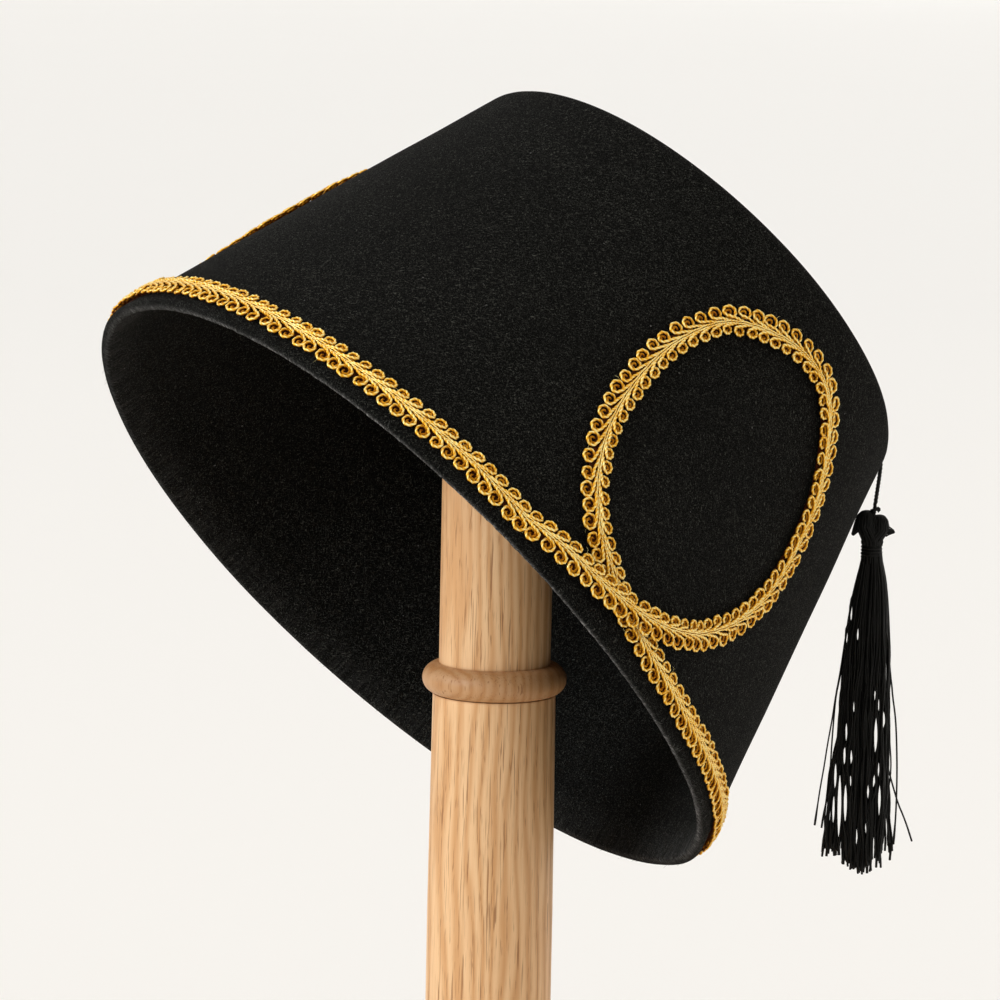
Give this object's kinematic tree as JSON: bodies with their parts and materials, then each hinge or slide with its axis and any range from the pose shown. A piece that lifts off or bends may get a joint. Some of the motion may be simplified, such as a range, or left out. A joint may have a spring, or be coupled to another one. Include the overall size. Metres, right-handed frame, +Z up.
{
  "type": "fez with tassel on a turned wooden hat stand",
  "caption": "Black felt fez with a looped gold gimp braid round its rim and a black tassel on a cord, resting tilted on the domed head of a plain turned wooden stand.",
  "frame": {"origin": "middle of the stand's flat underside, on the post's axis", "axes": "+Z up along the post; the side of the cap with the whole braid loop in view faces -Y, and the tassel hangs on the +X side"},
  "size_m": [0.1932, 0.1845, 0.3087],
  "materials": {
    "felt": "matt black felt",
    "gold_braid": "lustrous gold yarn, gimp braid",
    "tassel": "shiny black thread",
    "oak": "pale oak, satin"
  },
  "bodies": {
    "root": {"felt_cap": "felt", "gold_braid": "gold_braid", "tassel_cord": "tassel", "tassel": "tassel", "stand_head": "oak", "stand_post": "oak", "stand_base": "oak"}
  },
  "joints": []
}
